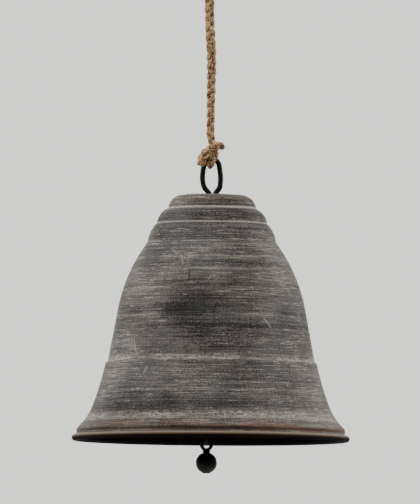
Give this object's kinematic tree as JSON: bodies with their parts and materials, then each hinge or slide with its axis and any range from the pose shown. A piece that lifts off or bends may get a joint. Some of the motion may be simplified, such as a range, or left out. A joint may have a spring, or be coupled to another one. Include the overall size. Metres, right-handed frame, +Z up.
{
  "type": "yard dinner bell",
  "caption": "Spun metal bell with a stepped crown and a rolled, flared rim, hung by a wire hanger from a knotted braided rope, with a ball clapper on a chain inside.",
  "frame": {"origin": "inside top of the rope's upper loop, where a hook or nail holds the bell", "axes": "+Z up along the rope and the bell's axis, bell hangs towards -Z; +X to the right and -Y towards a viewer who faces the hanger's eye"},
  "size_m": [0.2286, 0.2286, 0.5097],
  "materials": {
    "bell_metal": "dark grey-brown distressed paint, brushed round the bell, pale wear on the ledges and rim",
    "black_iron": "blackened wire, satin",
    "black_ball": "rough blackened iron",
    "plain_steel": "dull plain steel",
    "jute": "hairy braided jute, matte"
  },
  "bodies": {
    "rope": {"rope": "jute", "rope_top_knot": "jute", "rope_top_loop": "jute"},
    "knot": {"rope_knot": "jute"},
    "bell": {"bell_shell": "bell_metal", "rim_wire": "plain_steel", "hanger_loop": "black_iron", "inner_washer": "plain_steel"},
    "link_1": {"chain_link_1": "black_iron"},
    "link_2": {"chain_link_2": "black_iron"},
    "link_3": {"chain_link_3": "black_iron"},
    "link_4": {"chain_link_4": "black_iron"},
    "link_5": {"chain_link_5": "black_iron"},
    "link_6": {"chain_link_6": "black_iron"},
    "link_7": {"chain_link_7": "black_iron"},
    "link_8": {"chain_link_8": "black_iron"},
    "link_9": {"chain_link_9": "black_iron"},
    "clapper": {"clapper_eye": "black_iron", "clapper_ball": "black_ball"}
  },
  "joints": [
    {"name": "rope_sway", "type": "hinge", "parent": "rope", "child": "knot", "pos_m": [-0.0012, 0, -0.2285], "axis": [0, 1, 0], "range_deg": [-15, 15]},
    {"name": "bell_swing", "type": "hinge", "parent": "knot", "child": "bell", "pos_m": [0, 0, -0.2435], "axis": [1, 0, 0], "range_deg": [-15, 15]},
    {"name": "link_1_swing", "type": "hinge", "parent": "bell", "child": "link_1", "pos_m": [-0.0034, 0, -0.2895], "axis": [1, 0, 0], "range_deg": [-25, 25]},
    {"name": "link_2_swing", "type": "hinge", "parent": "link_1", "child": "link_2", "pos_m": [-0.0034, 0, -0.3099], "axis": [0, 1, 0], "range_deg": [-27, 27]},
    {"name": "link_3_swing", "type": "hinge", "parent": "link_2", "child": "link_3", "pos_m": [-0.0034, 0, -0.3309], "axis": [-1, 0, 0], "range_deg": [-32, 32]},
    {"name": "link_4_swing", "type": "hinge", "parent": "link_3", "child": "link_4", "pos_m": [-0.0034, 0, -0.3519], "axis": [0, -1, 0], "range_deg": [-36, 36]},
    {"name": "link_5_swing", "type": "hinge", "parent": "link_4", "child": "link_5", "pos_m": [-0.0034, 0, -0.3729], "axis": [1, 0, 0], "range_deg": [-42, 42]},
    {"name": "link_6_swing", "type": "hinge", "parent": "link_5", "child": "link_6", "pos_m": [-0.0034, 0, -0.3939], "axis": [0, 1, 0], "range_deg": [-50, 50]},
    {"name": "link_7_swing", "type": "hinge", "parent": "link_6", "child": "link_7", "pos_m": [-0.0034, 0, -0.4149], "axis": [-1, 0, 0], "range_deg": [-60, 60]},
    {"name": "link_8_swing", "type": "hinge", "parent": "link_7", "child": "link_8", "pos_m": [-0.0034, 0, -0.4359], "axis": [0, -1, 0], "range_deg": [-65, 65]},
    {"name": "link_9_swing", "type": "hinge", "parent": "link_8", "child": "link_9", "pos_m": [-0.0034, 0, -0.4569], "axis": [1, 0, 0], "range_deg": [-70, 70]},
    {"name": "clapper_swing", "type": "hinge", "parent": "link_9", "child": "clapper", "pos_m": [-0.0034, 0, -0.4779], "axis": [0, 1, 0], "range_deg": [-70, 70]}
  ]
}
